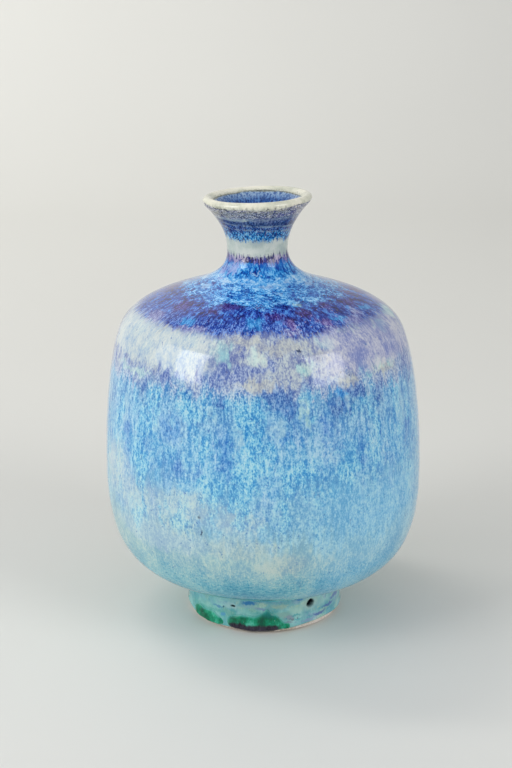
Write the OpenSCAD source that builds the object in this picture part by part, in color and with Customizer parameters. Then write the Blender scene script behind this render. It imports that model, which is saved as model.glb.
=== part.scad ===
// Wheel-thrown stoneware bottle vase, in millimetres: a clay body and the coats of glaze
// that are fused onto it. The origin is the centre of the ring it stands on, and +Z is up.
// Every outline is half of a section, as [radius, height], and is turned about the Z axis.

/* [Foot] */
// Radius of the clay foot
foot_r = 24.5; // [22:0.5:26]
// Height of the foot, up to the crease under the belly
foot_h = 12; // [9:0.5:14]
// Height of bare clay left below the glaze
bare_h = 1.2; // [0.8:0.1:3]
// Width of the ring that the vase stands on
ring_w = 5; // [4:0.5:7]
// Depth of the hollow turned inside the ring
recess_h = 7; // [5:0.5:8]
// How far the hollow's wall leans in on its way up
recess_lean = 2.5; // [1:0.5:4]
// Bevel on both edges of the ring
ring_bevel = 0.6; // [0.3:0.1:0.7]

/* [Belly] */
// Radius of the clay at the widest part
belly_r = 49.5; // [46:0.5:54]
// Height of the widest part
belly_z = 47; // [44:1:54]
// Slope of the underside where it leaves the foot, in degrees above level
underside_angle = 31; // [26:1:36]
// Pull of the underside's curve at the foot
underside_pull = 13.5; // [10:0.5:16]
// Pull of the underside's curve at the widest part
belly_low_pull = 30.5; // [26:0.5:32]
// Pull of the wall's curve at the widest part
belly_high_pull = 20.5; // [14:0.5:26]

/* [Shoulder] */
// Radius of the clay on the turn of the shoulder
shoulder_r = 42; // [40:0.5:44]
// Height of the turn of the shoulder
shoulder_z = 96.5; // [92:0.5:99]
// Slope of the wall there, in degrees above level
shoulder_angle = 50; // [42:1:58]
// Pull of the curve below the turn
shoulder_low_pull = 7; // [5:0.5:9]
// Pull of the curve above the turn
shoulder_high_pull = 14; // [11:0.5:16]

/* [Neck and lip] */
// Radius of the clay at the throat, the narrowest part
throat_r = 8.8; // [8:0.1:11]
// Height of the throat
throat_z = 118; // [115:0.5:121]
// Pull of the curve below the throat
throat_low_pull = 13; // [10:0.5:15]
// Pull of the curve above the throat
throat_high_pull = 3; // [1:0.5:5]
// Slope of the flared mouth, in degrees above level
flare_angle = 46; // [40:1:56]
// Pull of the flare's curve at the lip
flare_pull = 9.5; // [7:0.5:11]
// Radius of the circle that runs along the middle of the lip
lip_r = 15.2; // [14:0.1:17]
// Height of that circle
lip_z = 133.4; // [131:0.2:137]

/* [Walls] */
// Thickness of the belly's wall
wall = 3.4; // [2.8:0.1:4]
// Thickness of the neck's wall at the throat
throat_wall = 2.6; // [2.2:0.1:3]
// Thickness of the wall at the lip
lip_wall = 1.7; // [1.4:0.1:2.2]
// Height of the inside floor
floor_z = 13; // [11.5:0.5:15]

/* [Glaze] */
// Thickness of the fired coat
coat = 0.5; // [0.3:0.1:0.8]
// Steps of the flare that the lip's glaze covers, inside and outside
lip_lap = 1; // [1:1:4]
// How far the pooled glaze stands out from the coat at the foot
pool_t = 1.3; // [0.8:0.1:2]
// Height of the pooled glaze
pool_h = 5; // [3:0.5:7]

/* [Quality] */
// Steps in each curve of an outline
curve_steps = 12; // [8:2:24]

/* [Hidden] */
round_fn = 96;
up = [0, 1];
out = [1, 0];
// The flat middle of the inside floor, and the pulls of the bowl that rises from it
floor_flat_r = 10;
bowl_floor_pull = 19;
bowl_side_pull = 22.5;
// The pools start this far above the bare clay; each one is [first, last] in degrees about Z
pool_lift = 0.4;
POOLS = [[-152, -121], [-118, -73]];

// Direction that rises at an angle from level, to the outside
function slope(angle) = [cos(angle), sin(angle)];

// Direction that rises at an angle from level, to the axis
function lean_in(angle) = [-cos(angle), sin(angle)];

// Points of a cubic curve from a to d with handles b and c, without its first point
function curve(a, b, c, d) = [
    for (i = [1:curve_steps])
        let (t = i / curve_steps, s = 1 - t)
            s^3 * a + 3 * s^2 * t * b + 3 * s * t^2 * c + t^3 * d
];

// Unit vector square to the step from a to b, on the side away from the clay
function side(a, b) = [b.y - a.y, a.x - b.x] / norm(b - a);

// Point i of outline p, moved d away from the clay with both its steps kept parallel
function moved(p, i, d) =
    let (
        last = len(p) - 1,
        u = side(p[max(i - 1, 0)], p[max(i, 1)]),
        v = side(p[min(i, last - 1)], p[min(i + 1, last)])
    )
    p[i] + d * (u + v) / (1 + u * v);

// Share of the way from a to b at which z lies, held between 0 and 1
function share(z, a, b) = max(0, min(1, (z - a) / (b - a)));

// Thickness of the clay behind the outside point at height z
function wall_at(z) =
    wall
    + (throat_wall - wall) * share(z, shoulder_z, throat_z)
    + (lip_wall - throat_wall) * share(z, throat_z, lip_z);

// Places that the outside curves join
crease = [foot_r, foot_h];
widest = [belly_r, belly_z];
turn = [shoulder_r, shoulder_z];
throat = [throat_r, throat_z];
lip_centre = [lip_r, lip_z];
lip_start = lip_centre + lip_wall / 2 * slope(flare_angle - 90);

underside = curve(
    crease,
    crease + underside_pull * slope(underside_angle),
    widest - belly_low_pull * up,
    widest
);
belly = curve(
    widest,
    widest + belly_high_pull * up,
    turn - shoulder_low_pull * lean_in(shoulder_angle),
    turn
);
shoulder = curve(
    turn,
    turn + shoulder_high_pull * lean_in(shoulder_angle),
    throat - throat_low_pull * up,
    throat
);
flare = curve(
    throat,
    throat + throat_high_pull * up,
    lip_start - flare_pull * slope(flare_angle),
    lip_start
);
outside = concat([[foot_r, bare_h], crease], underside, belly, shoulder, flare);
lip_edge = [
    for (i = [1:curve_steps])
        lip_centre + lip_wall / 2 * slope(flare_angle - 90 + 180 * i / curve_steps)
];

// The inside follows the outside from the lip down to the widest part, then rounds into a bowl
widest_i = 1 + curve_steps;
inside = [
    for (i = [len(outside) - 2:-1:widest_i])
        moved(outside, i, -wall_at(outside[i].y))
];
bowl_start = inside[len(inside) - 1];
floor_edge = [floor_flat_r, floor_z];
bowl = curve(
    bowl_start,
    bowl_start - bowl_side_pull * up,
    floor_edge + bowl_floor_pull * out,
    floor_edge
);

// All the glazed clay, from the bare foot over the lip to the middle of the floor
clay = concat(outside, lip_edge, inside, bowl, [[0, floor_z]]);
glaze = [for (i = [0:len(clay) - 1]) moved(clay, i, coat)];
lip_first = len(outside) - 1 - lip_lap;
lip_last = len(outside) - 1 + curve_steps + lip_lap;

// A coat of glaze on the clay between two points of its outline
module coat_between(first, last) {
    rotate_extrude($fn = round_fn)
        polygon(concat(
            [for (i = [first:last]) clay[i]],
            [for (i = [last:-1:first]) glaze[i]]
        ));
}

// Clay of the whole vase, with its turned foot ring bare underneath
module stoneware_body() {
    recess_r = foot_r - ring_w;
    color([0.72, 0.62, 0.53])
        rotate_extrude($fn = round_fn)
            polygon(concat(
                [
                    [0, recess_h],
                    [recess_r - recess_lean, recess_h],
                    [recess_r, ring_bevel],
                    [recess_r + ring_bevel, 0],
                    [foot_r - ring_bevel, 0],
                    [foot_r, ring_bevel]
                ],
                clay
            ));
}

// Blue coat from the bare foot up to the lip
module outer_glaze() {
    color([0.45, 0.66, 0.82])
        coat_between(0, lip_first);
}

// Cream coat over the lip
module lip_glaze() {
    color([0.86, 0.87, 0.80])
        coat_between(lip_first, lip_last);
}

// Coat inside the neck and the bowl
module lining_glaze() {
    color([0.62, 0.74, 0.82])
        coat_between(lip_last, len(clay) - 1);
}

// Thick glaze that ran down the foot and set against it
module foot_glaze_pools() {
    low = [foot_r + coat, bare_h + pool_lift];
    high = low + pool_h * up;
    color([0.10, 0.48, 0.36])
        for (pool = POOLS)
            rotate_extrude(start = pool[0], angle = pool[1] - pool[0], $fn = round_fn)
                polygon(concat([low], curve(low, low + 1.5 * pool_t * out, high + 0.5 * pool_t * out, high)));
}

stoneware_body();
outer_glaze();
lip_glaze();
lining_glaze();
foot_glaze_pools();
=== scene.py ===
"""Looks of the stoneware bottle vase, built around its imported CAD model.

Names ending in _mm, and everything about an outline, are in millimetres; the rest is in metres.
An azimuth is in degrees round the vase's axis: 0 at the front (-Y), growing towards +X.
A run is the distance along the clay's outline in mm, from the floor up the outside, over the
lip and down the inside.
"""

import math

import bpy
import numpy as np
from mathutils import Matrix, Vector


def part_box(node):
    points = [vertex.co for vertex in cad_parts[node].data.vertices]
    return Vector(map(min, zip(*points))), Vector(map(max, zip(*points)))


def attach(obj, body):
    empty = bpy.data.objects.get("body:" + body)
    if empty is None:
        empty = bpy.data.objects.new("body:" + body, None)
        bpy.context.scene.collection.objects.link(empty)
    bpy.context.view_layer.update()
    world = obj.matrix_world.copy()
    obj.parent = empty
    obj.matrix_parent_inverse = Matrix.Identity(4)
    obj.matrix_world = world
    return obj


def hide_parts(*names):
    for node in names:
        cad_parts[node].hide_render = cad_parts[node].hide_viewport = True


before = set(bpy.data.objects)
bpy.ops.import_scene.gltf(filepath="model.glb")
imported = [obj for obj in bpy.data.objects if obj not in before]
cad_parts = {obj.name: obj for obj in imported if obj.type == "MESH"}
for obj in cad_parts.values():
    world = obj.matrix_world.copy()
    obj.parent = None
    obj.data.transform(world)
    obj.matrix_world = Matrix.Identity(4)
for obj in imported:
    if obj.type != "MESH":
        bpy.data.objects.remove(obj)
for spare in ("Cube", "Light", "Camera"):
    if spare in bpy.data.objects:
        bpy.data.objects.remove(bpy.data.objects[spare])
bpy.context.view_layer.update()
MM = 0.001


# ---------------- the clay's outline

def half_section(node):
    """A turned node's outline in the half plane y = 0, x > 0, as [radius, height] in mm."""
    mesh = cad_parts[node].data
    on_plane = {
        v.index: (round(v.co.x / MM, 4), round(v.co.z / MM, 4))
        for v in mesh.vertices
        if abs(v.co.y) < 1e-7 and v.co.x >= 0
    }
    links = {}
    for edge in mesh.edges:
        a, b = (on_plane.get(i) for i in edge.vertices)
        if a and b and a != b:
            links.setdefault(a, set()).add(b)
            links.setdefault(b, set()).add(a)
    ends = [p for p in links if len(links[p]) == 1]
    path = [min(ends, key=lambda p: p[1])]
    while links[path[-1]] - set(path):
        path.append((links[path[-1]] - set(path)).pop())
    return np.array(path)


def corners(points, least_turn=0.001):
    """The points of an outline without those that lie on a straight step."""
    step = np.diff(points, axis=0)
    angle = np.unwrap(np.arctan2(step[:, 1], step[:, 0]))
    keep = np.abs(np.diff(angle)) > least_turn
    return points[np.r_[True, keep, True]]


def eased(points, sharp=0.35, cut=0.7):
    """The outline with each sharp corner cut off, so that the curve through it is a fillet."""
    out = [points[0]]
    for before, here, after in zip(points, points[1:], points[2:]):
        a, b = here - before, after - here
        turn = abs(math.atan2(a[0] * b[1] - a[1] * b[0], a @ b))
        if turn < sharp or min(np.hypot(*a), np.hypot(*b)) < 3 * cut:
            out.append(here)
            continue
        a, b = a / np.hypot(*a), b / np.hypot(*b)
        out += [here - 2 * cut * a, here - cut * a, here + cut * b, here + 2 * cut * b]
    return np.array(out + [points[-1]])


def curve_through(points, step=0.05):
    """A smooth curve through the points, as evenly spaced points."""
    h = np.hypot(*np.diff(points, axis=0).T)
    d = np.diff(points, axis=0) / h[:, None]
    inner = (d[1:] * h[:-1, None] + d[:-1] * h[1:, None]) / (h[1:] + h[:-1])[:, None]
    tangent = np.vstack([d[0], inner, d[-1]])
    dense = []
    for i, length in enumerate(h):
        t = np.linspace(0, 1, max(4, int(length / step)), endpoint=False)[:, None]
        a, b = points[i], points[i + 1]
        m, n = tangent[i] * length, tangent[i + 1] * length
        dense.append(
            (2 * t**3 - 3 * t**2 + 1) * a
            + (t**3 - 2 * t**2 + t) * m
            + (3 * t**2 - 2 * t**3) * b
            + (t**3 - t**2) * n
        )
    dense = np.vstack(dense + [points[-1:]])
    along = np.r_[0, np.cumsum(np.hypot(*np.diff(dense, axis=0).T))]
    even = np.arange(0, along[-1], step)
    return np.c_[np.interp(even, along, dense[:, 0]), np.interp(even, along, dense[:, 1])]


STEP = 0.05
section = half_section("stoneware_body")
ring_last = np.flatnonzero(section[:, 1] < 1e-3)[-1]
under = corners(section[: ring_last + 1])
wall = curve_through(eased(corners(section[ring_last + 1 :])), STEP)
RUN = wall[0, 1] + STEP * np.arange(len(wall))
slope = np.gradient(wall, axis=0)
slope /= np.hypot(*slope.T)[:, None]
soft = np.hanning(15) / np.hanning(15).sum()
NORMAL = np.c_[
    np.convolve(np.pad(slope[:, 1], 7, "edge"), soft, "valid"),
    np.convolve(np.pad(-slope[:, 0], 7, "edge"), soft, "valid"),
]
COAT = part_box("lip_glaze")[1].z / MM - section[:, 1].max()
FOOT_TOP = float(RUN[np.flatnonzero(wall[:, 0] > section[ring_last + 1, 0] + 0.3)[0]])
CREST = float(RUN[wall[:, 1].argmax()])
RUN_END = float(RUN[-1])
neck = wall[(RUN < CREST) & (RUN > CREST - 30)]
throat_z = float(neck[neck[:, 0].argmin(), 1])
crest_z = float(wall[:, 1].max())


# ---------------- given shapes

def ease(x, low, high):
    """0 below low, 1 above high and smooth between."""
    t = np.clip((x - low) / (high - low), 0, 1)
    return t * t * (3 - 2 * t)


def bump(x, middle, width):
    """1 at the middle, falling away smoothly over width on both sides."""
    return np.exp(-(((x - middle) / width) ** 2))


def wander(az, seed, waves=(2, 3, 5, 8)):
    """A value that wanders smoothly round the vase, mostly within -1 to 1."""
    phases = np.random.default_rng(seed).uniform(0, 2 * math.pi, len(waves))
    parts = [np.sin(np.radians(az) * n + p) / (k + 1) for k, (n, p) in enumerate(zip(waves, phases))]
    return sum(parts) / 1.2


def turned_by_hand(x, y, z):
    """Bends a true turned form (mm) into the thrown one: slightly out of round, and leaning."""
    az = np.arctan2(x, -y)
    up = ease(z, 4, 40)
    swell = 1 + up * (0.0022 * np.sin(2 * az + 0.6) + 0.0012 * np.sin(3 * az + z / 21))
    swell = swell + up * 0.0006 * np.sin(z / 1.35 + az) * (1 - ease(z, 96, 108))
    rise = np.clip(z / throat_z, 0, 1)
    lean = -(1.3 * rise + 1.1 * rise**8)
    tilt = math.tan(math.radians(2.1)) * ease(z, throat_z, crest_z - 2)
    return np.stack([x * swell + lean, y * swell, z + tilt * x], -1) * MM


def place(az, run, lift):
    """Points that lie lift mm off the clay, at azimuths az and runs run."""
    a = np.radians(az)
    r = np.interp(run, RUN, wall[:, 0]) + lift * np.interp(run, RUN, NORMAL[:, 0])
    z = np.interp(run, RUN, wall[:, 1]) + lift * np.interp(run, RUN, NORMAL[:, 1])
    return turned_by_hand(r * np.sin(a), -r * np.cos(a), z)


# Radius of the glazed foot, which turns the pinholes' widths into degrees
FOOT_RADIUS = 25

# Pinholes that burst in the glaze on the foot: azimuth, run, half width, half height, depth, and
# how much narrower each one grows towards its top
PINHOLES = (
    (-23.3, 8.8, 0.72, 0.36, 1.3, 0.0),
    (35.1, 8.7, 1.3, 1.4, 2.2, 0.45),
    (-31.0, 7.8, 0.28, 0.24, 0.6, 0.0),
)


def pit(az, run):
    """How deep the pinholes go (mm), and how high their swollen rims stand."""
    depth, rim = np.zeros_like(az), np.zeros_like(az)
    for az0, run0, wide, tall, deep, point in PINHOLES:
        across = np.radians(az - az0) * FOOT_RADIUS
        up = (run - run0) / tall
        reach = np.hypot(across / (wide * (1 - point * np.clip(up, -0.6, 1.2))), up)
        depth = np.maximum(depth, deep * (1 - ease(reach, 0.55, 1.1)))
        rim = np.maximum(rim, 0.16 * bump(reach, 1.55, 0.5))
    return depth, rim


def bare_line(az):
    """Run at which the glaze on the foot ends."""
    return 1.05 + 0.3 * wander(az, 4, (3, 5, 9, 14)) + 0.5 * bump(az, 36, 19) + 0.6 * bump(az, -140, 30)


def lip_line(az):
    """Run at which the blue coat meets the cream one on the lip."""
    return CREST - 1.7 + 0.3 * wander(az, 9, (3, 5, 7, 11)) - 0.6 * bump(az, 14, 16)


def mouth_line(az):
    """Run at which the cream coat ends inside the mouth."""
    return CREST + 1.7 + 0.25 * wander(az, 12, (3, 4, 7, 12))


def blue_lift(az, run):
    """Thickness of the blue coat."""
    above = run - bare_line(az)
    roll = ease(above, -0.05, 0.5) ** 0.6 + 0.35 * bump(above, 0.9, 0.55)
    crease = 0.7 * bump(run, FOOT_TOP, 2.2)
    depth, rim = pit(az, run)
    return COAT * (roll + crease) + rim - depth


def clay_sink(az, run):
    """Depth of the clay's own surface below the outline, under a deep pinhole."""
    return np.maximum(0, pit(az, run)[0] - 0.3)


def azimuths():
    """Column azimuths in degrees: close together across each pinhole."""
    wide_step, fine_step, least_step = 1.6, 0.3, 0.22
    columns = set(np.round(np.arange(-180, 180, wide_step), 3))
    for az0, _, wide, *_ in PINHOLES:
        reach = math.degrees(2.2 * (wide + 0.25) / FOOT_RADIUS)
        columns |= set(np.round(np.arange(az0 - reach, az0 + reach, fine_step), 3))
    ordered = np.array(sorted(columns))
    return ordered[np.r_[True, np.diff(ordered) > least_step]]


AZ = azimuths()
# Rows of the foot, as shares of the way up its glaze: closest together across the pinholes
FOOT_ROWS = np.unique(np.r_[
    np.linspace(0, 0.12, 6),
    np.linspace(0.12, 0.58, 12),
    np.linspace(0.58, 0.86, 26),
    0.93,
    1,
])
# Rows of the outside from the belly to the neck, and rows of the inside below the neck
WALL_ROWS = np.arange(FOOT_TOP + 2.7, CREST - 5, 1.2)
BOWL_ROWS = np.r_[np.arange(CREST + 57, RUN_END - 10.5, 2.4), np.linspace(RUN_END - 9, RUN_END - 0.5, 4)]


def foot_runs():
    """Rows of runs on the foot, which follow the wandering bare line."""
    low = bare_line(AZ)
    return [low + (FOOT_TOP + 1.5 - low) * share for share in FOOT_ROWS]


def level(value):
    """The same run, or the same lift, at every azimuth."""
    return np.full(len(AZ), float(value))


# ---------------- meshes

# Radii of the shader coordinates in mm, on the foot and belly, and in the neck
BELLY_REACH, NECK_REACH = 50, 16


def reach_round(run):
    """Radius of the shader coordinates there."""
    r = np.interp(run, RUN, wall[:, 0])
    return BELLY_REACH - (BELLY_REACH - NECK_REACH) * (1 - ease(r, 9, 30)) * ease(run, 60, 90)


def flow_of(az, run):
    """Shader coordinates: round the vase and along the flow, in mm as measured on the belly."""
    a = np.radians(az)
    around = reach_round(run)
    return np.stack([around * np.sin(a), -around * np.cos(a), run], -1)


def new_piece(name, verts, faces, runs, flows, stands_for, material, thick=None):
    """A smooth shaded mesh object that rides on the vase, with its shader coordinates."""
    mesh = bpy.data.meshes.new(name)
    mesh.from_pydata(verts.tolist(), [], faces)
    mesh.attributes.new("run", "FLOAT", "POINT").data.foreach_set("value", runs)
    if thick is not None:
        mesh.attributes.new("thick", "FLOAT", "POINT").data.foreach_set("value", thick)
    mesh.attributes.new("flow", "FLOAT_VECTOR", "POINT").data.foreach_set("vector", flows.ravel())
    mesh.shade_smooth()
    mesh.materials.append(material)
    piece = bpy.data.objects.new(name, mesh)
    bpy.context.scene.collection.objects.link(piece)
    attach(piece, "root")
    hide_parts(stands_for)
    return piece


def lathe(name, rings, closed, stands_for, material):
    """A piece from rings of (runs, lifts) round the vase, or of (runs, points) given outright.

    closed joins the last ring to the first; otherwise each end is capped by a point.
    """
    columns = len(AZ)
    verts, runs, flows = [], [], []
    for run, lift in rings:
        verts.append(place(AZ, run, lift) if lift.ndim == 1 else lift)
        runs.append(run)
        flows.append(flow_of(AZ, run))
    count = len(rings)
    faces = []
    for i in range(count if closed else count - 1):
        a, b = i * columns, (i + 1) % count * columns
        for j in range(columns):
            k = (j + 1) % columns
            faces.append((a + j, a + k, b + k, b + j))
    verts, runs, flows = np.vstack(verts), np.concatenate(runs), np.vstack(flows)
    if not closed:
        for ring, turn in ((0, -1), (count - 1, 1)):
            first = ring * columns
            loop = [first + j for j in range(columns)]
            pole = len(verts)
            verts = np.vstack([verts, verts[loop].mean(0)])
            runs = np.append(runs, runs[first])
            flows = np.vstack([flows, flows[loop].mean(0)])
            for j in range(columns):
                pair = (loop[j], loop[(j + 1) % columns])[::turn]
                faces.append((*pair, pole))
    return new_piece(name, verts, faces, runs, flows, stands_for, material)


def blue_glaze_coat(material):
    top = lip_line(AZ)
    upper = [top + (CREST - 5 - top) * (1 - share) for share in np.linspace(0, 1, 5)]
    front = [(run, blue_lift(AZ, run)) for run in foot_runs()[1:]]
    front += [(level(run), blue_lift(AZ, level(run))) for run in WALL_ROWS]
    front += [(run, blue_lift(AZ, run)) for run in upper]
    back = [(run, level(0)) for run in upper[::-1]]
    back += [(level(run), level(0)) for run in WALL_ROWS[::-2]]
    back += [(run, -clay_sink(AZ, run)) for run in foot_runs()[::-1]]
    return lathe("blue_glaze_coat", front + back, True, "outer_glaze", material)


def cream_lip_glaze(material):
    low, high = lip_line(AZ), mouth_line(AZ)
    share = np.r_[0, 0.015, 0.04, np.linspace(0.08, 0.92, 30), 0.96, 0.985, 1]
    front = []
    for s in share:
        run = low + (high - low) * s
        swell = 1 + 0.25 * ease(run - low, 0, 0.35) * (1 - ease(run - low, 0.9, 2.2))
        swell = swell + 0.15 * ease(high - run, 0, 0.3) * (1 - ease(high - run, 0.6, 1.6))
        front.append((run, COAT * swell))
    back = [(low + (high - low) * s, level(0)) for s in share[::-3]]
    if back[-1][0][0] > low[0]:
        back.append((low, level(0)))
    return lathe("cream_lip_glaze", front + back, True, "lip_glaze", material)


def lining_glaze_coat(material):
    top = mouth_line(AZ)
    start = CREST + 6
    rows = [top + (start - top) * share for share in np.linspace(0, 1, 6)]
    rows += [level(run) for run in np.r_[np.arange(start + 1.2, start + 50, 1.2), BOWL_ROWS]]
    back = [(run, level(0)) for run in rows[::-1]]
    front = [(run, level(COAT)) for run in rows]
    return lathe("lining_glaze_coat", back + front, False, "lining_glaze", material)


def clay_body(material):
    """The clay: recess with its turning marks, bare ring, and the wall that the coats lie on."""
    recess_r, recess_z = under[0]
    fillet = 0.8
    a = np.radians(AZ)

    def turned(r, z):
        return turned_by_hand(r * np.sin(a), -r * np.cos(a), z + 0 * a)

    rings = []
    for r in np.arange(0.4, recess_r - fillet, 0.22):
        spiral = np.sin(2 * math.pi * (r / 1.9) - a) * ease(r, 0.3, 3)
        nub = 0.35 * bump(r, 0, 1.1)
        dished = 0.5 * (1 - (r / recess_r) ** 2)
        rings.append((level(0), turned(r, recess_z + dished - nub + 0.07 * spiral)))
    for f in np.radians(np.linspace(0, 90, 5)):
        r = recess_r - fillet + fillet * math.sin(f)
        z = recess_z - fillet + fillet * math.cos(f)
        rings.append((level(0), turned(r, z)))
    for (r0, z0), (r1, z1) in zip(under[1:], under[2:]):
        for t in (0.12, 0.5, 0.88):
            grain = 0.05 * wander(AZ, int(31 + 9 * t), (7, 11, 16, 23)) * (z0 + z1 > 0.1)
            rings.append((level(0), turned(r0 + (r1 - r0) * t + grain, z0 + (z1 - z0) * t)))
    start = float(RUN[0])
    low = bare_line(AZ)
    scar = 0.04 * wander(AZ, 17, (9, 13, 21, 34))
    rings += [(start + (low - start) * share, scar) for share in (0.05, 0.3, 0.6, 0.85)]
    rings += [(run, -clay_sink(AZ, run)) for run in foot_runs()]
    lip_rows = np.linspace(CREST - 4.5, CREST + 5, 34)
    neck_rows = np.arange(CREST + 6, CREST + 56, 1.2)
    rings += [(level(run), level(0)) for run in np.r_[WALL_ROWS[::2], lip_rows, neck_rows, BOWL_ROWS]]
    return lathe("clay_body", rings, False, "stoneware_body", material)


def pool(name, first, last, low, high, height, material, extra=()):
    """A run of thick glaze on the foot between two azimuths, with steep round edges.

    low and high are functions of azimuth that give its lower and upper run; extra adds islands
    of the same form to the piece.
    """
    verts, faces, runs, flows, thick = [], [], [], [], []
    across, along, round_power = 26, 120, 4
    for start, end, lower, upper, tall in ((first, last, low, high, height), *extra):
        s = (1 - np.cos(np.linspace(0, math.pi, along))) / 2
        az = (start + (end - start) * s)[:, None]
        end_cap = np.sqrt(np.clip(1 - np.abs(2 * s[:, None] - 1) ** round_power, 0, 1))
        middle = (lower(az) + upper(az)) / 2
        half = (upper(az) - lower(az)) / 2 * end_cap
        v = np.linspace(0, math.pi, across)[None, :]
        run = middle - half * np.cos(v)
        az = az + 0 * run
        dome = np.sin(v) ** 0.8 * end_cap
        lumps = 1 + 0.14 * np.sin(az * 0.55 + run) + 0.08 * np.sin(az * 1.3 - run * 1.7)
        skin = blue_lift(az, run) - 0.04
        for lift, outward in ((skin + tall * dome * lumps, True), (skin - 0.12, False)):
            base = sum(len(v) for v in verts)
            flat_az, flat_run = az[1:-1].ravel(), run[1:-1].ravel()
            verts.append(place(flat_az, flat_run, lift[1:-1].ravel()))
            runs.append(flat_run)
            flows.append(flow_of(flat_az, flat_run))
            thick.append((np.sin(v) * end_cap)[1:-1].ravel())
            for i in range(along - 3):
                for j in range(across - 1):
                    a = base + i * across + j
                    quad = (a, a + across, a + across + 1, a + 1)
                    faces.append(quad if outward else quad[::-1])
        top, bottom = base - (along - 2) * across, base
        for i in range(along - 3):
            for j, turn in ((0, 1), (across - 1, -1)):
                a, b = i * across + j, (i + 1) * across + j
                faces.append((top + b, top + a, bottom + a, bottom + b)[::turn])
        for i, turn in ((0, -1), (along - 3, 1)):
            for j in range(across - 1):
                a, b = i * across + j, i * across + j + 1
                faces.append((top + b, top + a, bottom + a, bottom + b)[::turn])
    verts, runs, flows = np.vstack(verts), np.concatenate(runs), np.vstack(flows)
    thick = np.concatenate(thick)
    return new_piece(name, verts, faces, runs, flows, "foot_glaze_pools", material, thick)


def green_pools(material):
    """The two pools, and a small island beside the front one."""

    def front_top(az):
        wave = 1.8 * bump(az, 1.2, 3.4) + 0.7 * bump(az, 5, 8) - 2.6 * ease(az, 8, 16)
        return 6.2 + wave + 0.12 * np.sin(az)

    pool(
        "green_pool_left",
        -63, -31.5,
        lambda az: 0.75 + 0.35 * ease(az, -45, -63) + 0 * az,
        lambda az: 5.1 + 0.3 * np.sin(az * 0.42) - 0.9 * ease(az, -42, -32),
        0.62, material,
    )
    island = (13.2, 18.2, lambda az: 1.5 + 0 * az, lambda az: 3.5 + 0 * az, 0.6)
    pool(
        "green_pool_front",
        -28.5, 16.5,
        lambda az: 0.6 + 0.9 * ease(az, 6, 16),
        front_top,
        0.75, material,
        extra=(island,),
    )


# ---------------- materials

def linear(colour):
    """The linear colour of an sRGB one written as rrggbb."""
    channels = [int(colour[i : i + 2], 16) / 255 for i in (0, 2, 4)]
    return [c / 12.92 if c <= 0.04045 else ((c + 0.055) / 1.055) ** 2.4 for c in channels] + [1.0]


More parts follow.
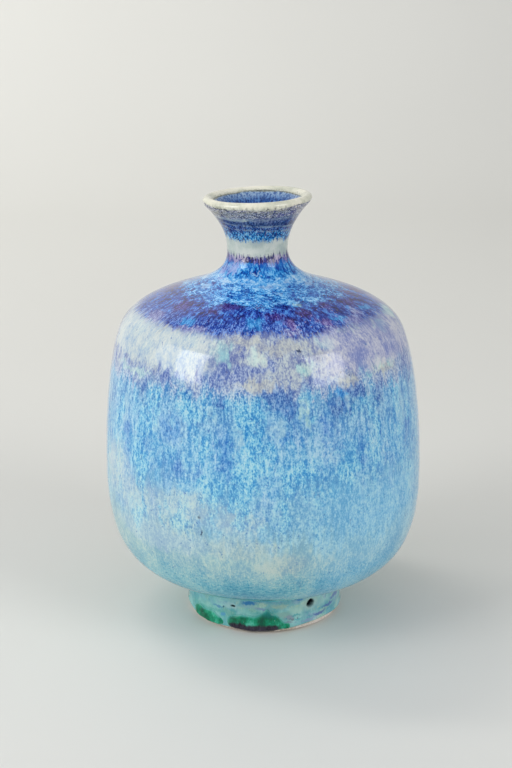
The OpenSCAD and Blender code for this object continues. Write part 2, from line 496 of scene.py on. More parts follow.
class Shader:
    """A Principled material, with short calls that add a node and return its output."""

    def __init__(self, name):
        self.material = bpy.data.materials.new(name)
        self.material.use_nodes = True
        self.nodes = self.material.node_tree.nodes
        self.links = self.material.node_tree.links
        self.surface = self.nodes["Principled BSDF"]

    def add(self, kind, inputs, output=0, **settings):
        node = self.nodes.new(kind)
        for key, value in settings.items():
            setattr(node, key, value)
        for key, value in inputs.items():
            if isinstance(value, bpy.types.NodeSocket):
                self.links.new(value, node.inputs[key])
            elif value is not None:
                node.inputs[key].default_value = value
        return node.outputs[output]

    def attribute(self, name, output):
        return self.add("ShaderNodeAttribute", {}, output, attribute_name=name)

    def maths(self, operation, a, b=None, c=None):
        return self.add("ShaderNodeMath", {0: a, 1: b, 2: c}, operation=operation)

    def times(self, *values):
        total = values[0]
        for value in values[1:]:
            total = self.maths("MULTIPLY", total, value)
        return total

    def shift(self, value, *parts):
        """value plus each (noise, reach) pair, where a noise moves it by up to about reach."""
        gain = 4.5
        for noise, reach in parts:
            moved = self.maths("MULTIPLY_ADD", noise, gain * reach, -gain / 2 * reach)
            value = self.maths("ADD", value, moved)
        return value

    def vector(self, operation, a, b=None, c=None, output="Vector"):
        return self.add("ShaderNodeVectorMath", {0: a, 1: b, 2: c}, output, operation=operation)

    def scaled(self, at, factors):
        return self.vector("MULTIPLY", at, factors)

    def step(self, value, low, high, to_low=0.0, to_high=1.0):
        """Smooth change from to_low to to_high as value goes from low to high."""
        inputs = {"Value": value, "From Min": low, "From Max": high, "To Min": to_low, "To Max": to_high}
        return self.add("ShaderNodeMapRange", inputs, interpolation_type="SMOOTHSTEP")

    def within(self, value, low, high, soft):
        """1 between low and high, falling to 0 over soft on each side."""
        return self.times(self.step(value, low - soft, low), self.step(value, high + soft, high))

    def mix(self, share, a, b):
        return self.add("ShaderNodeMix", {0: share, 6: a, 7: b}, 2, data_type="RGBA")

    def noise(self, at, size, squeeze=1.0, detail=2.0, roughness=0.5, twist=0.0, output="Fac"):
        """Noise with lumps about size mm wide, and 1 / squeeze times as tall."""
        at = self.scaled(at, (1 / size, 1 / size, squeeze / size))
        inputs = {"Vector": at, "Scale": 1.0, "Detail": detail, "Roughness": roughness, "Distortion": twist}
        return self.add("ShaderNodeTexNoise", inputs, output)

    def specks(self, at, size, radius_mm, share, squeeze=1.0):
        """1 in small round specks: one in the given share of the cells, which are size mm wide."""
        at = self.scaled(at, (1 / size, 1 / size, squeeze / size))
        distance = self.add("ShaderNodeTexVoronoi", {"Vector": at, "Scale": 1.0}, "Distance")
        drawn = self.add("ShaderNodeSeparateColor", {0: distance.node.outputs["Color"]})
        radius = radius_mm / size
        return self.times(
            self.step(distance, radius, 0.6 * radius),
            self.step(drawn, 1 - share, 1.01 - share),
        )

    def blend(self, *parts):
        """A spread of values from 0 to 1, from (noise, weight) pairs."""
        total = None
        for value, weight in parts:
            offset = 0.5 - 0.5 * weight if total is None else -0.5 * weight
            part = self.maths("MULTIPLY_ADD", value, weight, offset)
            total = part if total is None else self.maths("ADD", total, part)
        return self.step(total, 0.0, 1.0)

    def ramp(self, value, colours):
        """Colours from dark to light, evenly spaced over value 0 to 1."""
        node = self.nodes.new("ShaderNodeValToRGB")
        stops = node.color_ramp.elements
        colours = colours.split()
        while len(stops) < len(colours):
            stops.new(0.5)
        for i, colour in enumerate(colours):
            stops[i].position = i / (len(colours) - 1)
            stops[i].color = linear(colour)
        self.links.new(value, node.inputs[0])
        return node.outputs[0]

    def finish(self, colour, roughness, height=None, depth_mm=0.05, **constants):
        self.links.new(colour, self.surface.inputs["Base Color"])
        self.links.new(roughness, self.surface.inputs["Roughness"])
        if height is not None:
            inputs = {"Strength": 1.0, "Distance": depth_mm * MM, "Height": height}
            self.links.new(self.add("ShaderNodeBump", inputs), self.surface.inputs["Normal"])
        for name, value in constants.items():
            self.surface.inputs[name.replace("_", " ")].default_value = value
        return self.material


class Glaze(Shader):
    """A shader with the glaze's own coordinates and grain."""

    def __init__(self, name):
        super().__init__(name)
        flow = self.flow = self.attribute("flow", "Vector")
        self.run = self.attribute("run", "Fac")
        self.near = self.scaled(flow, (0.5, 0.5, 1))
        fleck = self.fleck = self.noise(flow, 0.8, 0.45, 2, 0.6)
        grain = self.grain = self.noise(flow, 0.42, 0.7, 1)
        streak = self.streak = self.noise(flow, 1.5, 0.16, 2)
        cloud = self.cloud = self.noise(flow, 9, 0.6, 2)
        mottle = self.mottle = self.noise(flow, 3, 0.75, 3, 0.6, 0.8)
        drift = self.noise(flow, 2.4, 0.7, 3, 0.6, output="Color")
        twist = self.vector("SUBTRACT", drift, (0.5, 0.5, 0.5))
        self.ragged = self.vector("MULTIPLY_ADD", twist, (9, 9, 9), flow)
        self.wavy = self.vector("MULTIPLY_ADD", twist, (5, 5, 2.5), flow)
        self.across = self.add("ShaderNodeSeparateXYZ", {0: flow})
        self.fields = {
            "web": self.blend((fleck, 1.9), (grain, 1.5), (streak, 1.1), (cloud, 0.8)),
            "haze": self.blend((cloud, 1.4), (fleck, 1.4), (grain, 1.1), (mottle, 0.7)),
            "patchy": self.blend((mottle, 2.3), (fleck, 1.5), (grain, 1), (cloud, 0.7)),
            "sandy": self.blend((grain, 2), (fleck, 1.9), (mottle, 1.2)),
            "smear": self.blend((self.noise(flow, 0.9, 1.7, 3, 0.6), 2.2), (grain, 1.2), (mottle, 1)),
            "brushed": self.blend((self.noise(flow, 1.5, 3, 3, 0.6), 1.9), (grain, 0.9), (cloud, 1.2)),
            "speckled": self.blend((self.noise(flow, 0.6, 1.1, 1), 2.2), (fleck, 1.3), (mottle, 1)),
            "soft": self.blend((cloud, 1.2), (mottle, 1.3), (fleck, 1.2), (grain, 1)),
            "dotty": self.blend((grain, 1.5), (fleck, 1.7), (cloud, 1.2)),
            "rays": self.blend((streak, 2.2), (self.noise(flow, 0.8, 0.14, 1), 1.8), (grain, 0.8)),
            "calm": self.blend((self.noise(self.near, 6, 1.4, 2), 2), (mottle, 0.7), (grain, 0.5)),
            "grain": grain,
        }

    def zone(self, low, high, soft):
        """1 between two runs, falling to 0 over soft on each side."""
        return self.within(self.run, low, high, soft)

    def start(self, field, colours):
        """Gives the coat colours that follow a field."""
        self.colour = self.ramp(self.fields[field], colours)

    def over(self, share, strength, field, colours):
        """Covers the coat, in that share times that strength, with colours that follow a field."""
        share = self.times(share, strength) if strength < 1 else share
        self.colour = self.mix(share, self.colour, self.ramp(self.fields[field], colours))

    def dab(self, share, strength, colour):
        """Covers the coat, in that share times that strength, with one colour."""
        share = self.times(share, strength) if strength < 1 else share
        self.colour = self.mix(share, self.colour, linear(colour))

    def side(self, az, half, soft):
        """1 within half degrees of azimuth az, falling to 0 over soft degrees more."""
        a = math.radians(az)
        unit = self.vector("NORMALIZE", self.scaled(self.flow, (1.0, 1.0, 0.0)))
        toward = self.vector("DOT_PRODUCT", unit, (math.sin(a), -math.cos(a), 0), output="Value")
        return self.step(toward, math.cos(math.radians(half + soft)), math.cos(math.radians(half)))

    def patches(self, at, spots, soft=0.45):
        """1 in ellipses of (azimuth, run, half width in degrees, half height in mm), 0 outside."""
        nearest = None
        for az, run, wide, tall in spots:
            around = float(reach_round(run))
            a = math.radians(az)
            across = 1 / (math.radians(wide) * around)
            factors = (across, across, 1 / tall)
            middle = (around * math.sin(a), -around * math.cos(a), run)
            offset = tuple(-m * f for m, f in zip(middle, factors))
            from_middle = self.vector("MULTIPLY_ADD", at, factors, offset)
            reach = self.vector("LENGTH", from_middle, output="Value")
            nearest = reach if nearest is None else self.maths("MINIMUM", nearest, reach)
        return self.step(nearest, 1 + soft, 1 - soft)


# Bands of the blue coat from the foot up: the run where each starts, over how many mm it fades in,
# how far its edge follows the streaks, the clouds and the grain, its field, and its colours
BANDS = (
    (11.6, 1.6, 0.3, 0.5, 0.3, "brushed", "1C84A4 3A9EB8 4CACC0 60B8C6 84C8CA"),
    (26, 9, 1, 1.5, 1, "brushed", "3C94B2 58A8BE 6CB4C6 7CBEC8 98CACC"),
    (40, 11, 1, 2, 2, "soft", "7CAABE 90B8C2 9CC0C4 A8C8C6 B8CEC8"),
    (53, 10, 4, 4, 2.4, "web", "5C9CC6 78B0D0 88BCD4 96C6D8 A6D0DA"),
    (68, 8, 5, 4, 2.4, "web", "3688C4 58A0CE 72B2D6 86BEDA A0CEE0"),
    (83, 7, 5, 4, 2.4, "web", "4682BA 629CC8 78AED2 8ABCD8 A6CCE0"),
    (96.5, 4, 3, 2, 1.8, "sandy", "7084B4 869AC0 98ACCA AABCD2 C0CCDA"),
    (102, 4, 3, 2.4, 1.8, "soft", "5C6CA2 7A86AE 929EB8 A8B4C2 C0CACA"),
    (115.6, 2.4, 1.5, 1.8, 1.8, "sandy", "02196E 122F8A 2448A4 3C68BC 7C9CD8"),
    (121.5, 3, 2.4, 2, 1.5, "patchy", "040A50 14247C 2642A2 3666C2 5898DE"),
    (130, 3, 2.4, 2.6, 1.2, "patchy", "002C82 0456B2 268EDA 5AB4EC ACD8F4"),
    (139.5, 2.4, 1.4, 1.4, 1, "patchy", "207CCA 4A9CDC 68B0E4 8AC0E8 B6D6EE"),
    (143.6, 1.8, 1, 1, 0.8, "patchy", "002A7C 004CA4 0874C4 3498DA 78BAE8"),
    (148.6, 1.6, 0.5, 0.4, 0.5, "rays", "0E0C4A 1C2068 343C88 605E9E A094BC"),
    (150.8, 1.6, 1, 0.3, 0.5, "calm", "A4B2B0 AEBBB4 B8C3BA C2CAC2 CCD1C8"),
    (155.8, 1.5, 0.9, 0.3, 0.6, "speckled", "02305E 064A8E 1470B6 4098CC 8CC4DC"),
    (158.9, 1.2, 0.4, 0.5, 0.6, "speckled", "0A1444 142C6A 244A8E 426EA8 7896BE"),
    (163.1, 0.7, 0.2, 0.5, 0.3, "smear", "7486A0 8898A8 98A8AE A8B6B4 BAC6BC"),
    (164.3, 0.8, 0.3, 0.5, 0.5, "speckled", "3C4058 6C728E 9CA0B2 BEC0C4 DCD8CC"),
)

# Patches on the blue coat: what they are, their field, colours and strength, and where they lie,
# as azimuth, run, half width in degrees and half height in mm
PATCHES = (
    ("pale bloom on the belly", "haze", "90B0C8 9EBECC A8C6D0 B2CCD2 BED4D2", 0.95, (
        (-48, 61, 17, 6.5), (-26, 63.5, 14, 4.5), (-64, 67, 10, 9), (-40, 52, 22, 5), (-9, 60, 8, 4),
        (118, 62, 16, 6), (142, 57, 18, 7), (176, 64, 15, 5), (226, 60, 18, 7), (252, 66, 10, 6),
    )),
    ("warmth under the bloom", "haze", "90ACBA A2B8BE B0C2BE C0CCC4", 0.5, (
        (-8, 52, 10, 4), (6, 47, 9, 3.5), (-30, 57, 9, 3), (120, 52, 12, 4), (170, 56, 12, 4),
        (236, 50, 12, 4),
    )),
    ("deep runs in the azure", "web", "1C66B2 3078BE 4488C8 5C9AD0 78AED8", 0.8, (
        (-30, 76.5, 1.7, 4.2), (-22.4, 74.4, 1.3, 3.4), (-0.5, 81.2, 1, 1.8), (-0.6, 76, 0.6, 2.4),
        (-12.5, 80, 1.6, 7.5), (-33, 86, 4.5, 4.5), (35.5, 78, 2, 6), (46, 82, 0.9, 5),
        (-46, 80, 3.5, 5), (21, 88, 2.6, 4), (-56, 82, 1.5, 5), (62, 80, 2.2, 5), (8, 86, 1.2, 3),
        (80, 78, 2.6, 7), (97, 84, 3, 5), (112, 76, 1.6, 6), (131, 82, 3, 5), (149, 79, 1.4, 5),
        (166, 84, 3, 5), (183, 77, 1.8, 6), (201, 83, 2.6, 5), (218, 79, 1.5, 5), (239, 84, 3.2, 5),
        (256, 76, 1.6, 6), (273, 82, 2.6, 5),
    )),
    ("indigo under the cream", "sandy", "2C549C 3E6AAC 527EBA 6690C4 7EA2CE", 0.85, (
        (3.5, 96.6, 7, 2.4), (9, 94.4, 4, 2.6), (34, 96.6, 7, 2), (28, 93, 4.5, 3), (-48, 95, 2.5, 3),
        (-29, 96.4, 4, 1.6), (46, 94, 2.5, 3.5), (-14, 95.4, 3, 2), (70, 96, 6, 2.4), (95, 95, 7, 2.6),
        (128, 96, 6, 2.4), (155, 94.6, 7, 3), (190, 96.2, 6, 2.2), (222, 95, 7, 2.6), (262, 96, 6, 2.4),
    )),
    ("pale drips", "haze", "88B6D0 98C2D6 A2C8D8 ACD0DC", 0.75, (
        (15.2, 93.4, 1.9, 5.6), (-57, 88, 1.8, 5.5), (5, 87.5, 2.4, 3.2), (31, 95.6, 1.4, 1.8),
        (-8, 84, 1.6, 5), (58, 87, 2.6, 6), (-17, 92, 1.1, 2.6), (-39, 88, 1.2, 4), (88, 90, 2, 6),
        (121, 88, 1.6, 5), (172, 90, 2.2, 6), (211, 87, 1.6, 5), (246, 91, 2.2, 6),
    )),
    ("lavender on the cream", "sandy", "4A60A4 6078B0 788ABC 8C9EC6 A6B4D0", 0.8, (
        (-11, 103.4, 9, 2.6), (-3, 105.8, 6, 1.4), (-19, 101.6, 5, 2.2), (3, 106.4, 2.4, 1.8),
        (-37, 101.4, 4, 2.4), (-54, 106, 1.6, 3), (-46, 109.5, 1.4, 1.8), (42, 106.4, 9, 1.8),
        (30, 105, 5, 1.8), (58, 106.6, 8, 2.4), (76, 104, 8, 3.4), (70, 99.6, 7, 2.6), (86, 107, 7, 5),
        (20, 100.6, 3, 1.6), (-72, 104, 6, 4.4), (-86, 102, 8, 6), (102, 106, 9, 2.6), (127, 103, 7, 3),
        (158, 105.6, 10, 2.4), (188, 102.6, 7, 2.6), (214, 106, 8, 2.2), (240, 103, 8, 2.8),
        (270, 106, 8, 2.6),
    )),
    ("beige on the cream", "soft", "9CA0A8 ACB0AE BCBEB4 CACABC", 0.6, (
        (-1, 100.4, 6, 1.6), (33, 100.4, 4, 1.6), (9, 111.4, 10, 1.8), (-6, 113, 8, 1.6),
        (53, 101.6, 5, 1.8), (-44, 113, 8, 1.6), (24, 108, 5, 1.6), (108, 101, 9, 2), (146, 111, 8, 2),
        (176, 99.6, 8, 1.6), (205, 111, 7, 2), (232, 99.6, 9, 1.6),
    )),
    ("maroon on the dark shoulder", "sandy", "1C0848 2A105C 3A2070 4A3A8E 645CB0", 0.85, (
        (-52, 125, 7, 3), (-20, 128.6, 6.5, 2.2), (-28, 125.4, 3.5, 1.4), (0, 129.4, 3, 1.4),
        (8, 124.2, 6, 2), (15, 121.8, 4, 1.4), (26, 124.8, 4.2, 2.8), (44, 127, 4, 3.2),
        (64, 124.8, 7, 2.4), (82, 127, 5, 2.6), (98, 124, 8, 2.2), (121, 126.4, 6, 2.8),
        (146, 123.6, 8, 2.2), (169, 127, 7, 2.4), (192, 124, 7, 2.4), (214, 127.4, 6, 2.4),
        (236, 124, 8, 2.6), (262, 126.6, 7, 2.6),
    )),
    ("cobalt on the shoulder", "patchy", "0840A0 0C4EAC 1860B8 2E76C6 4A8CD0", 0.8, (
        (-19, 135, 4.2, 3), (-7, 133, 4, 1.8), (28.4, 134.8, 3.8, 2.8), (3, 133, 3, 1.6),
        (48, 133, 6, 1.8), (-41, 132, 5, 1.4), (10, 147.6, 13, 1.2), (40, 147, 16, 1.4),
        (-13, 147.9, 8, 0.9), (11, 144.6, 5, 0.8), (74, 134.4, 5, 2.6), (104, 135, 6, 2.6),
        (136, 133, 5, 2), (160, 135.4, 5, 3), (196, 133.6, 7, 2.2), (224, 135, 5, 2.8), (252, 133, 6, 2),
        (100, 147.4, 22, 1.3), (196, 147.6, 24, 1.2),
    )),
    ("white haze on the shoulder", "haze", "88B4DC 9CC2E4 B0CEE8 C2D8EC", 0.65, (
        (-44, 140.6, 13, 0.9), (-14, 141.2, 10, 0.7), (-62, 136.6, 8, 2), (8, 139.6, 8, 0.7),
        (36, 141.4, 9, 0.8), (-32, 138.4, 6, 0.7), (-5, 144.8, 7, 0.6), (64, 138, 8, 1.6),
        (18, 136.2, 4, 0.9), (100, 140.6, 12, 1), (142, 139.6, 10, 1.2), (184, 141, 12, 1),
        (226, 140, 11, 1), (264, 138.6, 9, 1.6),
    )),
    ("violet by the neck", "haze", "4A64B4 6078C0 788ACA 8E9CD2 A4B0DA", 0.8, (
        (-48, 146.4, 12, 2.2), (-66, 145, 9, 2.6), (-56, 141.8, 8, 1), (140, 146, 14, 2),
        (238, 146.4, 12, 2),
    )),
    ("pink under the collar", "calm", "9490B4 AAA4C0 BCB2C8 CCC2D0", 0.85, (
        (-44, 150, 15, 0.55), (-24, 149.7, 7, 0.45), (42, 149.9, 13, 0.5), (118, 150, 14, 0.5),
        (222, 150, 14, 0.5),
    )),
    ("cream reaching into the shoulder", "sandy", "6468A8 8888B8 A8A8C6 C4C4CE", 0.6, (
        (50, 117.8, 5, 2.6), (57, 120, 3, 2.4), (33, 116.4, 4, 1.6), (14, 116.2, 5, 1.4),
        (-34, 116.2, 8, 1.4), (-60, 117.4, 6, 2.2), (94, 118, 6, 2.6), (140, 117, 8, 2), (196, 118, 6, 2.6),
        (244, 117, 8, 2),
    )),
    ("olive under the lip", "smear", "6C6C60 8C8C7C A6A696 BCBCAC", 0.7, (
        (-50, 166.2, 20, 1.1), (-14, 167.4, 14, 0.8), (20, 167.6, 14, 0.6), (120, 166.6, 25, 1),
        (230, 167, 25, 0.9),
    )),
    ("violet under the lip", "sandy", "2C3074 4C5090 6C70A8 9090B8", 0.7, (
        (38, 165.6, 16, 0.9), (24, 166.4, 8, 0.7), (8, 165.2, 6, 0.5), (80, 165.6, 14, 1),
        (170, 165.4, 20, 0.9),
    )),
    ("mint on the cream", "soft", "A4CCC8 B2D4CC C2DED4 D0E6DC", 0.55, (
        (-62, 111, 5, 2.6), (-50, 108, 3, 2), (-56, 99.6, 12, 0.9), (-16, 110.4, 4, 2.8), (-2, 109, 3, 1.6),
        (16, 104.6, 3, 1.8), (48, 103, 3, 1.8), (-30, 112, 5, 1.2), (15.2, 92.8, 1.4, 4.8),
        (110, 109, 6, 2.2), (166, 110, 7, 2), (218, 108, 6, 2.4), (254, 111, 7, 2),
    )),
    ("azure blooms", "sandy", "1C74C0 2C88CE 3C9ADA 60B0E2", 0.8, (
        (-3, 120.8, 4.5, 2.8), (42.4, 119.8, 4.4, 1.2), (29, 96.6, 2.6, 1.4), (-38, 119, 4, 1.6),
        (68, 120, 5, 1.4), (110, 119.6, 5, 1.8), (180, 120, 6, 1.6), (228, 119.4, 5, 1.8),
    )),
    ("turquoise blooms", "haze", "8CC0CA A0CED0 B0D8D4 C0E0DC", 0.6, (
        (26.6, 112, 4.4, 1.7), (63, 112.8, 6, 1.8), (84, 114, 8, 2), (42.2, 100.4, 1.6, 1.1),
        (56, 102.4, 3.4, 1.4), (-14.4, 108.4, 2.6, 2.4), (13.6, 104.6, 1.8, 1.5), (26.4, 129.4, 3, 1.2),
        (126, 112, 6, 1.8), (204, 100.6, 4, 1.6),
    )),
)

# Marks on the foot: azimuth, run, half width in degrees, half height in mm, colour and strength
FOOT_MARKS = (
    (-11, 10.6, 5, 0.8, "1C74B4", 0.9), (-24, 8.8, 5, 1.1, "A8CCCC", 0.7),
    (35, 8.7, 7, 2.2, "B4CCC0", 0.6), (10, 9.4, 6, 0.8, "9CB8A8", 0.6),
    (14, 6.4, 5, 1, "8CACA0", 0.6), (20, 4.4, 2, 0.4, "5C4C64", 0.7),
    (-36, 7.4, 4, 0.4, "3C7CAC", 0.7), (-32, 5, 2.4, 0.8, "4C94C0", 0.8),
    (-3, 11.5, 7, 0.35, "3C8CBC", 0.7), (27, 11.1, 4, 0.4, "2C7CB8", 0.8),
    (38, 11, 4, 0.35, "3A86BC", 0.7), (-52, 11.2, 12, 0.5, "4CA4C4", 0.7),
    (-68, 10.6, 10, 0.9, "4C9CC4", 0.6), (75, 11.3, 5, 0.7, "1C5880", 0.8),
    (-2, 8.6, 5, 0.5, "748CB4", 0.7), (-12, 9.2, 6, 0.5, "8CB4BC", 0.7),
    (-30, 3, 1.7, 2, "60A8AC", 0.75), (-34, 6, 5, 0.5, "58A8A4", 0.6),
    (-48, 5.6, 14, 0.5, "54AC9C", 0.6), (18, 5.2, 3.5, 0.8, "8C94A4", 0.8),
    (17, 3.4, 3, 0.5, "7C6C8C", 0.6), (23, 5.6, 4, 0.35, "3CA0A8", 0.7),
    (25, 4.2, 3, 0.3, "4CA8B0", 0.7), (44, 3.9, 7, 0.5, "4C60A8", 0.8),
    (55, 5.4, 7, 0.55, "5468A8", 0.8), (34, 3, 7, 0.4, "8C94B8", 0.65),
    (64, 7, 7, 0.7, "6074B4", 0.8), (72, 9.2, 6, 0.9, "7C94C8", 0.7),
    (24, 7.6, 5, 1.4, "A8CCB8", 0.5), (44, 8, 5, 1.6, "A4CCC4", 0.5),
    (108, 6, 12, 1.6, "5CA8B0", 0.6), (146, 4, 14, 1.4, "4CA89C", 0.7),
    (170, 8, 12, 1, "7C90BC", 0.6), (205, 5, 14, 1.6, "54A8A8", 0.6),
    (240, 7.4, 14, 1, "6C94BC", 0.6), (268, 4.6, 10, 1.4, "50A898", 0.6),
)


def azure_runs(g):
    """Pale and deep runs in the azure, brighter and more violet areas, ticks, and a pale low right."""
    runs = g.noise(g.ragged, 1.7, 0.07, 1)
    azure = g.within(g.shift(g.run, (g.cloud, 6)), 58, 94, 7)
    g.over(g.times(azure, g.step(runs, 0.56, 0.68)), 0.4, "haze", "90BCD8 A4CCDC B4D8DE")
    g.over(g.times(azure, g.step(runs, 0.43, 0.33)), 0.4, "web", "2A74BC 4488C8 649ED2")
    hue = g.noise(g.ragged, 8, 0.4, 2)
    g.over(g.times(azure, g.step(hue, 0.5, 0.62)), 0.5, "web", "1880C2 44A6D6 78C4DE 98D4E0 B2DEE0")
    g.over(g.times(azure, g.step(hue, 0.44, 0.34)), 0.22, "web", "3C68B8 6C90CC 92ACD8 B2C4DC")
    g.dab(g.times(g.zone(50, 98, 6), g.specks(g.ragged, 1.9, 0.3, 0.5, 0.4)), 0.75, "185CB0")
    low_right = g.times(g.within(g.shift(g.run, (g.cloud, 4)), 30, 64, 8), g.side(60, 30, 20))
    g.over(low_right, 0.6, "dotty", "58A4D0 70B4DA 84C0DE 9CCEE0")


def foot_tints(g):
    """Green and blue areas on the foot, teal ones to the left, and green haloes round the pools."""
    foot = g.step(g.run, 12.5, 10.5)
    tint = g.noise(g.near, 4, 1.6, 3, 0.6)
    g.over(g.times(foot, g.step(tint, 0.53, 0.62)), 0.6, "sandy", "8CB8A0 A8C8B0 C0D4BC")
    g.over(g.times(foot, g.step(tint, 0.45, 0.37)), 0.5, "sandy", "6C8CB4 8CA8C4 A8BCD0")
    g.over(g.times(foot, g.side(-64, 26, 18)), 0.5, "calm", "3494A0 54AAB0 70BCBA")
    spots = ((-47, 3.6, 20, 3.4), (-6, 4.4, 26, 4.2), (146, 3.6, 18, 3.4), (268, 4, 14, 3.2))
    g.over(g.patches(g.wavy, spots, 0.6), 0.75, "calm", "3C9C90 54AA9E 70B8AE 8CC6BC")


def cream_painted_side_light(g):
    """The left of the cream is painted whiter where the left softbox's light falls, and the right of it
    pinker as painted light from the right softbox.
    """
    cream = g.within(g.shift(g.run, (g.mottle, 2)), 104, 113, 3)
    # painted light: the left of the cream band is whitened and the right tinted pink, where the two
    # softboxes light it
    g.over(g.times(cream, g.side(-52, 22, 16)), 0.88, "soft", "9CB4CC B4C6D0 C4D0D0 D2D8D4")
    g.over(g.times(cream, g.side(52, 20, 14)), 0.7, "soft", "8690C0 A2A6C8 B8B8CE CECCD6")


def belly_dots(g):
    """Teal dots low on the belly, blue ones higher up, and brown ones in the front of the cream."""
    g.dab(g.times(g.zone(26, 42, 4), g.specks(g.ragged, 1.5, 0.42, 0.5, 0.9)), 0.55, "2878A4")
    g.dab(g.times(g.zone(42, 108, 6), g.specks(g.ragged, 3, 0.5, 0.45, 0.6)), 0.6, "3872B0")
    blue = g.times(g.zone(100, 113, 2), g.specks(g.wavy, 2.2, 0.42, 0.4, 0.8))
    g.over(blue, 0.65, "grain", "3C5C94 5C7CB4 7C94B8")
    brown = g.times(g.zone(99, 114, 1.5), g.side(14, 22, 10), g.specks(g.wavy, 2.6, 0.36, 0.45, 0.6))
    g.over(brown, 0.75, "grain", "2C3468 4C4C78 706880")
    g.dab(g.times(g.zone(68, 98, 5), g.specks(g.ragged, 1.9, 0.4, 0.35, 0.6)), 0.5, "2A74C0")


def shoulder_specks(g):
    """Pinkish white specks in the dark shoulder, more of them to the right, and rosy patches."""
    white = g.times(g.zone(116, 126, 2), g.specks(g.flow, 1.15, 0.27, 0.34))
    right = g.maths("MAXIMUM", g.side(24, 14, 14), g.side(170, 60, 30))
    g.dab(g.times(white, g.step(right, 0, 1, 0.25, 0.85)), 1, "CCB8D4")
    spots = ((15, 119.6, 3.4, 1.6), (33, 119.4, 3.6, 1.4), (150, 119.6, 4, 1.5), (250, 120, 4, 1.4))
    g.over(g.patches(g.ragged, spots), 0.6, "sandy", "5C4890 8870A8 B49CBC")


def neck_marks(g):
    """Maroon flecks under the collar and in the cobalt of the neck, and marks up to the lip."""
    edge = g.times(g.zone(148.9, 150.4, 0.4), g.side(3, 22, 12), g.step(g.fleck, 0.46, 0.56))
    g.dab(edge, 0.85, "240A3C")
    neck = g.times(g.zone(157.5, 162.5, 0.6), g.step(g.noise(g.flow, 0.7, 1.4, 1), 0.54, 0.62))
    g.over(neck, 0.75, "sandy", "241446 4A3468 7C74A0")
    sloping = g.shift(g.maths("MULTIPLY_ADD", g.across, 0.06, g.run), (g.cloud, 0.3))
    navy = g.times(g.within(sloping, 161.3, 162.4, 0.5), g.step(g.mottle, 0.34, 0.46))
    g.over(navy, 0.8, "speckled", "121C48 283C6C 4C6088")
    dim = g.times(g.zone(162.6, 164.4, 0.3), g.side(48, 50, 14), g.step(g.mottle, 0.36, 0.5))
    g.over(dim, 0.75, "speckled", "2C3C68 50608C 7C86A4")
    black = g.times(g.step(g.run, 163.8, 165.4), g.step(g.noise(g.flow, 0.75, 1.6, 1), 0.54, 0.62))
    g.dab(black, 0.8, "14121E")
    for run, half in ((161.0, 0.18), (159.3, 0.14)):
        line = g.times(g.within(sloping, run - half, run + half, 0.3), g.step(g.mottle, 0.42, 0.56))
        g.dab(line, 0.55, "94A8B0")


def marks_and_painted_pinhole_shade(g):
    """Marks and dark specks, and painted shade on the floor of each pinhole: near black in the deep ones.
    """
    for *spot, tint, strength in FOOT_MARKS:
        g.dab(g.patches(g.wavy, (spot,)), strength, tint)
    spots = ((20, 4.8, 6, 1.8), (50, 3.4, 10, 1), (118, 4.4, 12, 2), (222, 4.4, 12, 2))
    peppered = g.patches(g.wavy, spots)
    for size, radius, tint in ((1.3, 0.3, "5C5070"), (1.7, 0.32, "2C98A4")):
        g.dab(g.times(peppered, g.specks(g.near, size, radius, 0.5)), 0.85, tint)
    spots = ((14.5, 110.2, 0.7, 0.5), (28.6, 95.2, 0.6, 0.7), (-22, 61.2, 0.7, 0.6), (-21, 56, 0.6, 0.8))
    g.dab(g.patches(g.wavy, spots), 0.9, "16305C")
    g.dab(g.specks(g.ragged, 7, 0.34, 0.5), 0.7, "284880")
    # painted shade: each pinhole's floor is darkened as its shade, near black where it is deep
    for az, run, wide, tall, deep, _ in PINHOLES:
        spot = (az, run, math.degrees(wide * 2.15 / BELLY_REACH), tall)
        g.dab(g.patches(g.flow, (spot,), 0.25), 1, "0A1420" if deep > 1 else "284878")


def blue_glaze():
    """The blue coat: bands from the foot up, patches on them, and the smaller things on those.

    With 40 more patches the coat rendered black, without an error, so nodes are added with care.
    """
    g = Glaze("blue_glaze")
    g.start("calm", "5AA2B0 74B2BA 84BCC0 92C6C6 A8D2D0")
    for start, fade, streaks, clouds, grains, field, colours in BANDS:
        edge = g.shift(g.run, (g.streak, streaks), (g.cloud, clouds), (g.grain, grains))
        g.over(g.step(edge, start - fade / 2, start + fade / 2), 1, field, colours)
    for _, field, colours, strength, spots in PATCHES:
        g.over(g.patches(g.ragged, spots), strength, field, colours)
    azure_runs(g)
    foot_tints(g)
    cream_painted_side_light(g)
    belly_dots(g)
    shoulder_specks(g)
    neck_marks(g)
    marks_and_painted_pinhole_shade(g)
    rough = g.step(g.fields["haze"], 0, 1, 0.08, 0.15)
    height = g.maths("ADD", g.maths("MULTIPLY", g.fleck, 0.12), g.noise(g.flow, 5, 0.8, 1))
    return g.finish(g.colour, rough, height, 0.045)


def cream_glaze():
    """The cream on the lip, with olive grey painted along its lower edge as the shade under the roll, olive
    along its inner edge, and dark specks along the lower one.
    """
    g = Glaze("cream_glaze")
    g.start("calm", "C0C2B0 CECEBC D8D7C4 E2DFCC EAE6D6")
    lower = g.shift(g.run, (g.mottle, 0.7), (g.cloud, 0.4))
    # painted shade: the lower edge of the cream is greyed where the roll's underside lies in shade
    g.over(g.step(lower, CREST - 1.2, CREST - 2.2), 0.6, "smear", "8C8C78 A8AA96 B8BAAA C8CABC")
    g.over(g.step(lower, CREST + 1.1, CREST + 1.9), 0.7, "smear", "74755A 96977C AEB09E C0C4BC")
    edge = g.maths("SUBTRACT", g.run, lip_line(np.zeros(1))[0])
    specks = g.times(g.step(edge, 1.1, 0.3), g.step(g.noise(g.flow, 0.8, 1, 1), 0.54, 0.62))
    g.dab(specks, 0.85, "1C1A18")
    rough = g.step(g.fields["haze"], 0, 1, 0.12, 0.2)
    return g.finish(g.colour, rough, g.noise(g.flow, 4, 0.8, 1), 0.02)


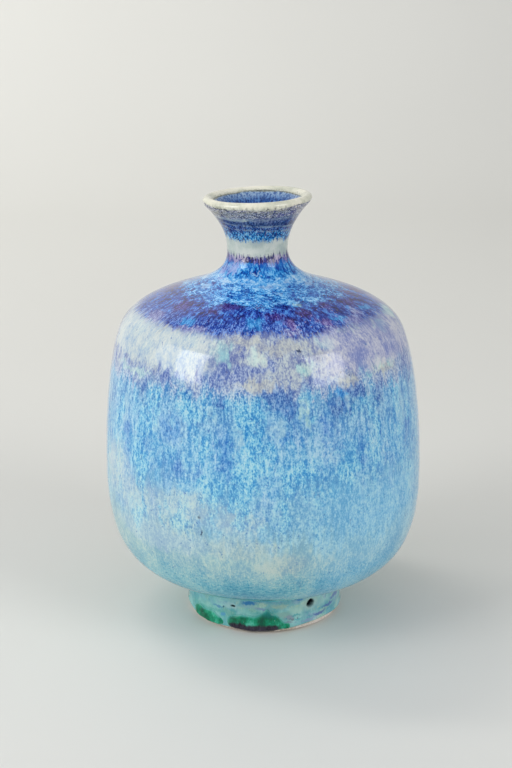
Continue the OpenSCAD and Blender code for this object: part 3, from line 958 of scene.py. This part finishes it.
def lining_glaze():
    """Deep blue rays down the mouth, paler at its edge under an olive line, and pale in the bowl."""
    g = Glaze("lining_glaze")
    long = g.noise(g.flow, 1.3, 0.06, 2)
    g.fields["mouth"] = g.blend((long, 2.6), (g.noise(g.flow, 0.5, 0.08, 1), 1.0), (g.cloud, 0.8))
    g.start("mouth", "0C2460 183C7C 264F92 3A68A6 5C86B8")
    edge = g.shift(g.run, (long, 1.3), (g.grain, 0.3))
    g.over(g.step(edge, CREST + 5.5, CREST + 2.6), 0.85, "mouth", "446498 6482AC 88A2C0 A8BCCA")
    thin = g.shift(g.run, (g.cloud, 0.3), (long, 0.2))
    g.over(g.step(thin, CREST + 2.5, CREST + 1.9), 0.8, "smear", "54543C 747458 94947C")
    g.over(g.step(g.run, CREST + 22, CREST + 50), 1, "haze", "6C98B0 8CB4C4 A4C6CE")
    rough = g.step(g.fields["haze"], 0, 1, 0.12, 0.22)
    return g.finish(g.colour, rough, g.noise(g.flow, 2, 0.8, 1), 0.03)


def green_glaze():
    """Thick green, paler at its top and where it is thin, murky low down in the front, and with pale specks
    painted in as highlight glints.
    """
    g = Glaze("green_glaze")
    g.start("calm", "00483A 006848 0A8460 24A07C 5CBCA4")
    high = g.shift(g.run, (g.mottle, 0.4), (g.cloud, 0.4))
    g.over(g.step(high, 5.2, 7.4), 1, "calm", "0C746C 248C86 50AAA4")
    g.over(g.times(g.step(high, 3.6, 2.7), g.side(-8, 16, 5)), 1, "haze", "1E1A26 2C2634 403848")
    g.over(g.times(g.step(high, 1.6, 0.9), g.side(-48, 16, 6)), 0.6, "haze", "70A898 98BCAC")
    thin = g.shift(g.attribute("thick", "Fac"), (g.mottle, 0.12), (g.grain, 0.05))
    low = g.step(high, 2.6, 3.6)
    g.over(g.times(g.step(thin, 0.75, 0.2), low), 1, "calm", "3C9C90 60B0A6 84C2B8")
    # painted highlights: pale specks over the pools stand in for glints of light
    g.dab(g.specks(g.flow, 1.6, 0.22, 0.3), 0.6, "8CD0C0")
    rough = g.step(g.fields["haze"], 0, 1, 0.05, 0.1)
    return g.finish(g.colour, rough, g.noise(g.flow, 4, 1, 1), 0.02, Specular_IOR_Level=0.32)


def bare_clay():
    """Pale sandy clay with brown grit."""
    s = Shader("bare_clay")
    at = s.scaled(s.add("ShaderNodeTexCoord", {}, "Object"), (1000, 1000, 1000))
    sand = s.noise(at, 0.35, 1, 3, 0.6)
    cloud = s.noise(at, 7, 1, 3, 0.55)
    tone = s.blend((sand, 2), (cloud, 2))
    colour = s.ramp(tone, "A89684 BCAC9C CABCAE D6CABE E2D8CE")
    grit = s.specks(at, 1.1, 0.2, 0.6)
    colour = s.mix(s.times(grit, 0.6), colour, linear("6E5040"))
    rough = s.step(tone, 0, 1, 0.72, 0.9)
    return s.finish(colour, rough, s.maths("ADD", sand, s.times(grit, 0.5)), 0.08)


clay_body(bare_clay())
blue_glaze_coat(blue_glaze())
cream_lip_glaze(cream_glaze())
lining_glaze_coat(lining_glaze())
green_pools(green_glaze())


# ---------------- studio

def table():
    """A pale paper sweep: flat under the vase, and curving up well behind it."""
    s = Shader("pale_paper")
    at = s.add("ShaderNodeTexCoord", {}, "Object")
    tone = s.noise(at, 0.4, 1.0, 2.0)
    s.finish(s.ramp(tone, "DAD9D3 DEDDD7"), s.step(tone, 0.0, 1.0, 0.6, 0.7))
    front, bend, start, top, half = -8.0, 0.6, 0.7, 2.5, 6.0
    line = [(front, 0.0)]
    for t in np.radians(np.linspace(0, 90, 25)):
        line.append((start + bend * math.sin(t), bend - bend * math.cos(t)))
    line.append((start + bend, top))
    verts = [(x, y, z) for y, z in line for x in (-half, half)]
    faces = [(2 * i, 2 * i + 1, 2 * i + 3, 2 * i + 2) for i in range(len(line) - 1)]
    mesh = bpy.data.meshes.new("paper_floor")
    mesh.from_pydata(verts, [], faces)
    mesh.shade_smooth()
    mesh.materials.append(s.material)
    floor = bpy.data.objects.new("floor", mesh)
    bpy.context.scene.collection.objects.link(floor)


def area_lamp(name, location, back, wide, tall, brightness):
    """A rectangular lamp of that radiance, which shines away from the direction back."""
    data = bpy.data.lights.new(name, "AREA")
    data.shape = "RECTANGLE"
    data.size, data.size_y = wide, tall
    data.energy = brightness * math.pi * wide * tall
    lamp = bpy.data.objects.new(name, data)
    lamp.location = location
    lamp.rotation_euler = back.to_track_quat("Z", "Y").to_euler()
    lamp.visible_camera = False
    bpy.context.scene.collection.objects.link(lamp)
    return lamp


def softbox(name, az, elevation, distance, wide, tall, brightness):
    """A lamp that faces the vase from that side."""
    a, e = math.radians(az), math.radians(elevation)
    back = Vector((math.sin(a) * math.cos(e), -math.cos(a) * math.cos(e), math.sin(e)))
    area_lamp(name, Vector((0, 0, 0.08)) + back * distance, back, wide, tall, brightness)


def back_lamp(location, wide, tall, brightness):
    """A lamp behind the vase that lights the sweep, and doesn't show in reflections."""
    lamp = area_lamp("back_lamp", location, Vector((-0.1, -1.0, 0.75)), wide, tall, brightness)
    lamp.data.color = (1.0, 0.985, 0.95)
    lamp.visible_glossy = False


def surroundings(brightness, in_reflections):
    """Even light from all sides, which is dimmer where it shows in reflections."""
    world = bpy.data.worlds.new("studio")
    world.use_nodes = True
    nodes, links = world.node_tree.nodes, world.node_tree.links
    nodes["Background"].inputs["Color"].default_value = (0.93, 0.97, 1.06, 1)
    glossy = nodes.new("ShaderNodeLightPath").outputs["Is Glossy Ray"]
    strength = nodes.new("ShaderNodeMapRange")
    strength.inputs["To Min"].default_value = brightness
    strength.inputs["To Max"].default_value = in_reflections
    links.new(glossy, strength.inputs["Value"])
    links.new(strength.outputs[0], nodes["Background"].inputs["Strength"])
    bpy.context.scene.world = world


def camera():
    """The camera, above the front of the vase and looking down at it."""
    data = bpy.data.cameras.new("camera")
    data.sensor_width = 36
    data.lens = 65.3
    data.clip_start, data.clip_end = 0.01, 50
    eye = bpy.data.objects.new("camera", data)
    eye.location = (-0.0028, -0.420, 0.205)
    eye.rotation_euler = (math.radians(90 - 17.25), 0, 0)
    bpy.context.scene.collection.objects.link(eye)
    bpy.context.scene.camera = eye


table()
softbox("left_softbox", -57, 24, 0.9, 0.36, 0.54, 6.1)
softbox("left_fill", -80, 24, 0.9, 0.34, 0.50, 1.8)
softbox("right_softbox", 51, 25, 0.9, 0.42, 0.52, 4.8)
back_lamp((-0.70, 0.45, 1.3), 0.8, 0.5, 10.2)
surroundings(0.43, 0.24)
camera()
bpy.context.scene.view_settings.view_transform = "Standard"
